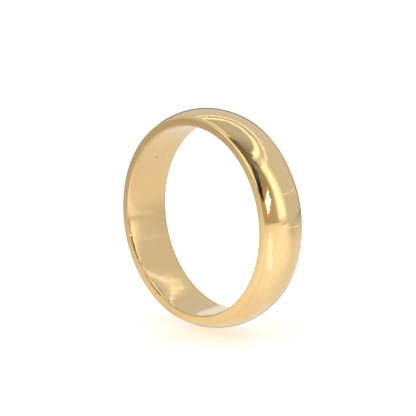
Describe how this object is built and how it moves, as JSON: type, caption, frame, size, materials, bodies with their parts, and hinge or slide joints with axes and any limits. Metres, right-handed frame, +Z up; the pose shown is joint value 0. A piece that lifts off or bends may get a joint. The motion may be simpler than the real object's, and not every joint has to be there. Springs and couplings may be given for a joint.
{
  "type": "wedding band",
  "caption": "Plain D-section finger ring in polished yellow metal: domed outer face, flat sides, round bore with softened edges.",
  "frame": {"origin": "centre of the bore, on its axis and midway between the two flat side faces", "axes": "+Y along the bore's axis, +Z up with the band standing on its edge, +X across the bore; the band is the same from +Y and from -Y"},
  "size_m": [0.0214, 0.005, 0.0214],
  "materials": {
    "gold": "polished"
  },
  "bodies": {
    "root": {"band": "gold"}
  },
  "joints": []
}
